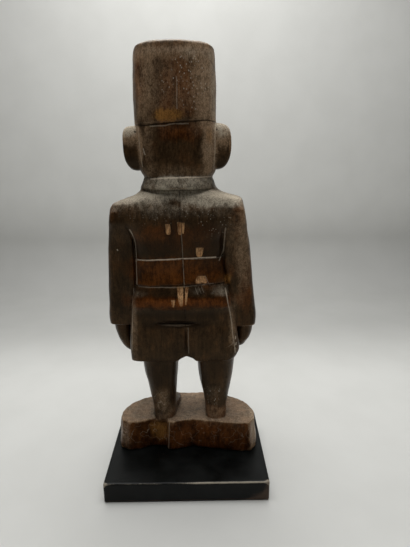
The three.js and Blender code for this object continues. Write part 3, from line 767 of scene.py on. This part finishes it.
def carve_front(clay):
    """The coat's front: its opening, buttons and the belt's plain buckle."""

    def opening(x, y, z):
        return 0.9 * groove(x - OPENING_X, 0.9) * np.where(np.abs(z - 173) < 9, 0.2, 1)

    clay.press((OPENING_X - 2, -47, 94), (OPENING_X + 2, -25, 241), opening)
    button_x = OPENING_X + 4.6
    for z in BUTTON_HEIGHTS:
        y = front_at(COAT, button_x, z)
        clay.add(egg((button_x, y + 0.1, z), (2.7, 1.3, 2.7)), 0.2)
    middle = (BELT_LOW + BELT_HIGH) / 2
    front = front_at(COAT, FACE_X, middle) - BELT_PROUD
    clay.add(slab((FACE_X, front, middle), (8.2, 1.4, 7.6), 0.5), 0.3)
    clay.cut(slab((FACE_X, front - 1.6, middle), (5.4, 1.2, 4.8), 0.4), 0.2)
    clay.add(slab((FACE_X, front, middle), (0.9, 1.3, 5.6), 0.4), 0.2)


def carve_figure():
    clay = Clay(SPACE_LOW, SPACE_HIGH, STEP)
    carve_block(clay)
    carve_legs(clay)
    carve_coat(clay)
    carve_arms(clay)
    clay.add(upright_loft(HEAD), 0.5)
    for side, sign in SIDES.items():
        carve_ear(clay, sign, *EARS[side])
    carve_face(clay)
    clay.add(upright_loft(CAP, CAP_SLOPES, rounding=0.6), 0.3)
    carve_back_lines(clay)
    carve_front(clay)
    return clay


def put_in_scene(name, data):
    obj = bpy.data.objects.new(name, data)
    bpy.context.scene.collection.objects.link(obj)
    return obj


def skinned(name, points, quads):
    """A piece in metres from a skin in millimetres."""
    mesh = bpy.data.meshes.new(name)
    mesh.from_pydata(points * MM, [], quads)
    mesh.validate()
    return put_in_scene(name, mesh)


def vectors(layer, name):
    """The three numbers that a layer holds at each vertex, as rows."""
    values = np.empty(len(layer) * 3, np.float32)
    layer.foreach_get(name, values)
    return values.reshape(-1, 3)


def add_mask(mesh, name, values):
    layer = mesh.attributes.new(name, "FLOAT", "POINT")
    layer.data.foreach_set("value", floats(np.clip(values, 0, 1)))


def patch_share(rows, x, z, roughness):
    """How strongly any of a table's patches covers each place, with a ragged border."""
    total = 0
    for middle_x, middle_z, half_x, half_z, amount in rows:
        across, along = np.abs(x - middle_x) / half_x, np.abs(z - middle_z) / half_z
        gap = (across**3 + along**3) ** (1 / 3) + 0.25 * roughness
        total = total + amount * ease(-gap, -1.6, -0.3)
    return total


def figure_masks(clay, mesh):
    """Where the wood is raw, worn, dusty or dark, and where light and shade are painted on it, as numbers
    from 0 to 1 at each vertex.
    """
    points, normals = vectors(mesh.vertices, "co") / MM, vectors(mesh.vertex_normals, "vector")
    x, y, z = points.T
    behind = ease(normals[:, 1], 0.1, 0.5) * ease(y, -16, -10)
    rearward = ease(normals[:, 1], -0.4, 0.4) * ease(y, -36, -6)
    rough = rough_noise(21, points, (7, 7, 9), 3)
    edge = clay.bulge(points, 2.0)
    add_mask(mesh, "edge", ease(edge, 0.10, 0.42))
    # hollow: concave places, used to paint shade, with some grime, into creases and hollows
    add_mask(mesh, "hollow_grime_and_shade", ease(-edge, 0.05, 0.35))
    add_mask(mesh, "behind", behind)
    share, _, along = chip_share(x, z)
    add_mask(mesh, "raw", (0.6 * share + 0.4 * along) * behind)
    add_mask(mesh, "upward", ease(normals[:, 2], 0.15, 0.95))
    for name, rows in PATCHES.items():
        share = patch_share(rows, x, z, rough)
        add_mask(mesh, name, share if name in ("warm", "dark_and_shade", "painted_light_between_feet") else share * rearward)


def make_figure():
    clay = carve_figure()
    points, quads = clay.skin()
    obj = skinned("carved_statuette", points, quads)
    normals = vectors(obj.data.vertex_normals, "vector")
    scoops = tool_marks(points, SCOOP_SIZE, 11)
    relief = SCOOP_DEPTH * np.clip(scoops * 3 - 1, -1, 1)
    relief += WAVE_DEPTH * rough_noise(3, points, WAVE_SIZE, 3)
    relief += GRAIN_DEPTH * rough_noise(5, points, GRAIN_SIZE, 2)
    relief += HACKED_DEPTH * ease(-points[:, 2], -46, -43) * rough_noise(5, points, HACKED_SIZE, 3)
    points = points + normals * relief[:, None]
    points[:, 2] = np.minimum(points[:, 2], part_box("carved_figure")[1][2] / MM)
    obj.data.vertices.foreach_set("co", floats(points * MM).ravel())
    obj.modifiers.new("thin_out", "DECIMATE").ratio = FIGURE_TRIANGLES / (2 * len(quads))
    obj.data = bpy.data.meshes.new_from_object(obj.evaluated_get(bpy.context.evaluated_depsgraph_get()))
    obj.modifiers.clear()
    obj.data.shade_smooth()
    figure_masks(clay, obj.data)
    return obj


def make_board():
    """The painted board with eased edges, and masks for where its paint is worn or chafed."""
    low, high = (np.array(corner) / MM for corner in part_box("plinth"))
    clay = Clay(low - 3, high + 3, 0.8)
    clay.add(slab((low + high) / 2, (high - low) / 2, 0.9))
    obj = skinned("painted_board", *clay.skin())
    obj.data.shade_smooth()
    points = vectors(obj.data.vertices, "co") / MM
    x, y, z = points.T
    at_back = y > high[1] - 3
    worn = 0.35 + at_back * (0.4 * (z > high[2] - 3) + 0.35 * ease(-x, -8, 10))
    add_mask(obj.data, "edge", worn * ease(clay.bulge(points, 1.6), 0.12, 0.4))
    chafed = ease(-x, 40, 62) * ease(-z, -14, -2) + 0.5 * ease(-z, -4, -1) + 0.6 * ease(-x, 57, 62)
    add_mask(obj.data, "chafed", chafed * at_back)
    return obj


class Value:
    """A node's output, which can be added to and multiplied by another or by a number."""

    def __init__(self, nodes, socket):
        self.nodes, self.socket = nodes, socket

    def __add__(self, other):
        return self.nodes.math("ADD", self, other)

    def __mul__(self, other):
        return self.nodes.math("MULTIPLY", self, other)


class Nodes:
    """Short ways to add and link a material's nodes."""

    def __init__(self, name):
        self.material = bpy.data.materials.new(name)
        self.material.use_nodes = True
        self.tree = self.material.node_tree
        self.shader = self.tree.nodes["Principled BSDF"]
        self.place = self.add("TexCoord", "Object", {})

    def add(self, kind, output, inputs, **settings):
        """Adds a node, fills its inputs, and gives one of its outputs."""
        node = self.tree.nodes.new("ShaderNode" + kind)
        for key, value in settings.items():
            setattr(node, key, value)
        for key, value in inputs.items():
            self.put(node.inputs[key], value)
        return Value(self, node.outputs[output])

    def put(self, socket, value):
        if isinstance(value, Value):
            self.tree.links.new(value.socket, socket)
        elif isinstance(value, tuple) and socket.type == "RGBA":
            socket.default_value = (*value, 1)
        else:
            socket.default_value = value

    def scaled(self, size, shift=0.0):
        """Object coordinates measured in cells of a size in millimetres."""
        scale = [1 / (MM * s) for s in size]
        inputs = {"Vector": self.place, "Scale": scale, "Location": [shift] * 3}
        return self.add("Mapping", "Vector", inputs)

    def noise(self, size, detail, roughness, shift=0.0):
        inputs = {"Vector": self.scaled(size, shift), "Scale": 1.0, "Detail": detail, "Roughness": roughness}
        return self.add("TexNoise", "Fac", inputs)

    def mask(self, name):
        return self.add("Attribute", "Fac", {}, attribute_name=name)

    def axis(self, name):
        return self.add("SeparateXYZ", name, {0: self.place})

    def math(self, operation, a, b=0.0):
        return self.add("Math", 0, {0: a, 1: b}, operation=operation)

    def ramp(self, value, low, high, start=0.0, end=1.0):
        inputs = {"Value": value, "From Min": low, "From Max": high, "To Min": start, "To Max": end}
        return self.add("MapRange", "Result", inputs, interpolation_type="SMOOTHSTEP")

    def mix(self, share, a, b, blend="MIX"):
        inputs = {"Factor": share, 6: a, 7: b}
        return self.add("Mix", 2, inputs, data_type="RGBA", blend_type=blend)

    def vector(self, operation, a, b):
        inputs = {0: a, 3 if operation == "SCALE" else 1: b}
        output = "Value" if operation in ("DOT_PRODUCT", "DISTANCE") else "Vector"
        return self.add("VectorMath", output, inputs, operation=operation)

    def stroke(self, strength, half_width, points, place):
        """Its strength on a line drawn through points given as x and z, and 0 or less off the line."""
        nearest = FAR
        for start, end in zip(points, points[1:]):
            run = Vector((end[0] - start[0], 0, end[1] - start[1]))
            offset = self.vector("SUBTRACT", place, (start[0], 0, start[1]))
            share = self.vector("DOT_PRODUCT", offset, tuple(run / run.length_squared))
            share = self.math("MAXIMUM", self.math("MINIMUM", share, 1.0), 0.0)
            gap = self.vector("DISTANCE", offset, self.vector("SCALE", tuple(run), share))
            nearest = self.math("MINIMUM", gap, nearest)
        cover = self.math("SUBTRACT", half_width + STROKE_REACH, nearest) * (strength / STROKE_FADE)
        return self.math("MINIMUM", cover, strength)

    def strokes(self, colour):
        """All the strokes of one colour, each a little unsteady."""
        sway = {axis: self.noise((5, 5, 5), 3, 0.6, shift) * 0.9 for axis, shift in (("X", 1.7), ("Z", 6.3))}
        unsteady = self.add("CombineXYZ", 0, sway)
        place = self.vector("ADD", self.scaled((1, math.inf, 1)), unsteady)
        total = 0.0
        for stroke in STROKES[colour]:
            total = self.math("MAXIMUM", total, self.stroke(*stroke, place))
        return total * self.mask("behind")

    def bump(self, height, distance, strength):
        inputs = {"Strength": strength, "Distance": distance * MM, "Height": height}
        self.put(self.shader.inputs["Normal"], self.add("Bump", "Normal", inputs))

    def finish(self, colour, roughness, gloss=0.5):
        inputs = {"Base Color": colour, "Roughness": roughness, "Specular IOR Level": gloss}
        for key, value in inputs.items():
            self.put(self.shader.inputs[key], value)
        return self.material


def carved_wood():
    n = Nodes("carved_wood")
    pale_strokes, dark_strokes = n.strokes("pale"), n.strokes("dark_and_shade")
    grain = n.noise((0.7, 0.7, 12), 4, 0.6)
    streaks = n.noise((3, 3, 30), 4, 0.6, 3.1)
    patches = n.noise((12, 12, 16), 4, 0.6, 5.7)
    mottle = n.noise((2.6, 2.6, 3.6), 4, 0.7, 2.2)
    fine = n.noise((0.8, 0.8, 1.1), 4, 0.7, 9.2)
    broken = n.ramp(mottle * 0.7 + fine * 0.3, 0.36, 0.62, 0.55, 1.15)
    tone = n.ramp(grain * 0.12 + streaks * 0.18 + mottle * 0.32 + patches * 0.38, 0.38, 0.64)

    # Dark stain, worn to red-brown in the warm patches. The dark patches and the hollows are painted shade,
    # with some dark stain and grime
    cool = n.mix(tone, (0.018, 0.009, 0.0035), (0.085, 0.047, 0.021))
    warm = n.mix(tone, (0.024, 0.006, 0.001), (0.13, 0.042, 0.008))
    heat = n.mask("warm") + patches * 0.9 + grain * 0.3
    colour = n.mix(n.ramp(heat, 0.55, 1.15), cool, warm)
    red = n.ramp(n.mask("red") * (tone + 0.6), 0.1, 1.1)
    colour = n.mix(red * 0.85, colour, (0.21, 0.058, 0.01))
    dark_and_shade = (n.mask("dark_and_shade") + n.mask("hollow_grime_and_shade") * 0.5) * n.ramp(mottle, 0.3, 0.7, 0.7, 1.2)
    colour = n.mix(n.ramp(dark_and_shade, 0, 1) * 0.8, colour, (0.012, 0.0065, 0.0035))

    # Pale patches, partly wear and dust and partly painted light on side facets and the sides of cap and
    # head; worn edges; dust and painted highlight on what faces up; painted light on the block's top between
    # the feet; and the ochre stain
    pale = n.ramp(n.mask("pale") * broken, 0.0, 1.1)
    colour = n.mix(pale * 0.85, colour, (0.34, 0.225, 0.135))
    worn = n.ramp(n.mask("edge") + fine * 0.4 + patches * 0.5, 0.95, 1.5)
    colour = n.mix(worn * 0.7, colour, (0.26, 0.16, 0.085))
    low = n.ramp(n.axis("Z"), 0.046, 0.043)
    # What faces up is paler: dust, and painted highlight from the light above
    dust_and_sheen = n.mask("dust_and_sheen") + n.mask("upward") * n.ramp(low, 0, 1, 0.5, 0.2)
    dust_and_sheen = n.ramp(dust_and_sheen * broken, 0.05, 1.1) * n.ramp(n.mask("dark_and_shade"), 0.8, 1.1, 1.0, 0.0)
    colour = n.mix(dust_and_sheen * 0.9, colour, (0.42, 0.37, 0.285))
    # The block's top: dust, and painted light between the feet
    top = n.mask("upward") * low * n.ramp(patches + mottle, 0.8, 1.2, 0.55, 1.0)
    colour = n.mix(top, colour, n.mix(n.mask("painted_light_between_feet"), (0.34, 0.245, 0.16), (0.54, 0.4, 0.27)))
    ochre = n.ramp(n.mask("ochre") * broken, 0.1, 0.9)
    colour = n.mix(ochre * 0.85, colour, (0.3, 0.14, 0.035))
    grit = n.ramp(fine * 0.7 + grain * 0.3, 0.38, 0.60, 0.70, 1.25)
    colour = n.mix(1.0, colour, grit, "MULTIPLY")

    # White specks, fine lines and strokes, and the raw wood of the chips. The pale strokes are partly
    # painted highlight along ledges and edges, the dark strokes partly painted shadow under the collar and
    # the cap's rim and in the crease
    dots = n.add("TexVoronoi", "Distance", {"Vector": n.scaled((2.1, 2.1, 2.5)), "Scale": 1.0})
    specks = n.ramp(dots + fine * 0.6, 0.44, 0.54, 1.0, 0.0)
    specks = specks * n.ramp(n.mask("specks") + patches * 0.8, 0.55, 1.0)
    colour = n.mix(specks * 0.85, colour, (0.5, 0.43, 0.34))
    curls = n.math("ABSOLUTE", n.math("SUBTRACT", n.noise((8, 8, 8), 2, 0.4, 8.8), 0.5))
    curls = n.ramp(curls, 0.004, 0.016, 0.35, 0.0) * n.mask("curls")
    lines = (pale_strokes + curls) * n.ramp(mottle + fine, 0.65, 1.0, 0.3, 1.0)
    colour = n.mix(lines, colour, (0.72, 0.6, 0.46))
    colour = n.mix(dark_strokes, colour, (0.01, 0.006, 0.004))
    raw = n.ramp(n.mask("raw") + fine * 0.4, 0.40, 1.10)
    tan = n.mix(n.ramp(grain + mottle, 0.75, 1.2), (0.24, 0.1, 0.04), (0.85, 0.5, 0.24))
    colour = n.mix(raw, colour, tan)

    n.bump(grain * 0.5 + fine * 0.35 + mottle * 0.6, 0.35, 0.6)
    n.put(n.shader.inputs["Specular Tint"], (1.0, 0.75, 0.5))
    return n.finish(colour, n.ramp(fine * 0.4 + mottle * 0.4 + dust_and_sheen * 0.6, 0.3, 1.0, 0.30, 0.75), 0.22)


def black_paint():
    n = Nodes("black_paint")
    cloud = n.noise((18, 18, 18), 4, 0.6)
    fine = n.noise((0.9, 0.9, 0.9), 4, 0.7, 4.4)
    scuffs = n.noise((9, 2.5, 4), 4, 0.7, 8.8)
    colour = n.mix(n.ramp(cloud, 0.35, 0.75), (0.0016, 0.002, 0.0018), (0.006, 0.0068, 0.0064))
    marks = n.ramp(scuffs, 0.66, 0.72) * n.ramp(fine, 0.5, 0.62)
    colour = n.mix(marks * 0.5, colour, (0.07, 0.07, 0.062))
    worn = n.ramp(n.mask("edge") + fine * 0.5 + scuffs * 0.4, 1.0, 1.35)
    colour = n.mix(worn, colour, (0.34, 0.3, 0.235))
    chafed = n.ramp(n.mask("chafed") + fine * 0.6 + scuffs * 0.6, 0.85, 1.5)
    colour = n.mix(chafed * 0.6, colour, (0.12, 0.075, 0.05))
    n.bump(fine * 0.4 + cloud, 0.2, 0.3)
    return n.finish(colour, n.ramp(fine * 0.5 + cloud * 0.6, 0.3, 0.8, 0.25, 0.45), 0.15)


def pale_paper():
    """The sheet's paper, darker in the band behind the figure: painted shade where the sheet runs back and
    bends up.
    """
    n = Nodes("pale_paper")
    colour = n.mix(n.ramp(n.noise((60, 60, 60), 3, 0.5), 0.3, 0.7), (0.625, 0.625, 0.595), BACKGROUND)
    clear_of_painted_shade = n.math("MAXIMUM", n.ramp(n.axis("Y"), -0.33, -0.12), n.ramp(n.axis("Z"), 0.0, 0.20))
    colour = n.mix(clear_of_painted_shade, n.mix(1.0, colour, (0.68, 0.68, 0.68), "MULTIPLY"), colour)
    n.bump(n.noise((1.5, 1.5, 1.5), 3, 0.6), 0.1, 0.2)
    return n.finish(colour, 0.85)


def make_stage():
    """A pale sheet that lies flat under the board and curves up behind it."""
    width, near, bend, radius, top = 3.0, 1.2, -0.45, 0.10, 1.9
    profile = [(near, 0.0)]
    for turn in np.linspace(0, math.pi / 2, 17):
        profile.append((bend - radius * math.sin(turn), radius * (1 - math.cos(turn))))
    profile.append((bend - radius, top))
    points = [(side * width / 2, y, z) for y, z in profile for side in (-1, 1)]
    faces = [(2 * k, 2 * k + 1, 2 * k + 3, 2 * k + 2) for k in range(len(profile) - 1)]
    mesh = bpy.data.meshes.new("paper_sweep")
    mesh.from_pydata(points, [], faces)
    mesh.shade_smooth()
    mesh.materials.append(pale_paper())
    put_in_scene("paper_sweep", mesh)


def make_light(name, place, target, size, power):
    data = bpy.data.lights.new(name, "AREA")
    data.shape = "RECTANGLE"
    data.size, data.size_y = size
    data.energy = power
    light = put_in_scene(name, data)
    light.location = place
    aim = Vector(target) - Vector(place)
    light.rotation_euler = aim.to_track_quat("-Z", "Y").to_euler()


def make_lights():
    make_light("overhead", (0.0, -0.1, 0.81), (-0.05, -0.05, 0.1), (0.71, 0.77), 8.3)
    make_light("wall_wash", (-0.45, -0.52, 1.48), (0.25, -0.54, 1.06), (0.4, 0.4), 0.42)
    world = bpy.data.worlds.new("room")
    world.use_nodes = True
    world.node_tree.nodes["Background"].inputs["Color"].default_value = (0.02, 0.02, 0.02, 1)
    bpy.context.scene.world = world


def make_camera():
    data = bpy.data.cameras.new("photo_view")
    data.lens, data.sensor_width = CAMERA_LENS, 36.0
    data.clip_start = 0.01
    camera = put_in_scene("photo_view", data)
    place = Matrix.Translation(CAMERA_PLACE)
    for degrees, axis in ((180 - CAMERA_YAW, "Z"), (90 - CAMERA_PITCH, "X"), (CAMERA_ROLL, "Z")):
        place = place @ Matrix.Rotation(math.radians(degrees), 4, axis)
    camera.matrix_world = place
    bpy.context.scene.camera = camera


make_camera()
make_stage()
make_lights()
bpy.context.scene.view_settings.view_transform = "Standard"

figure = make_figure()
figure.data.materials.append(carved_wood())
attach(figure, "root")
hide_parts("carved_figure")

board = make_board()
board.data.materials.append(black_paint())
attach(board, "root")
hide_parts("plinth")
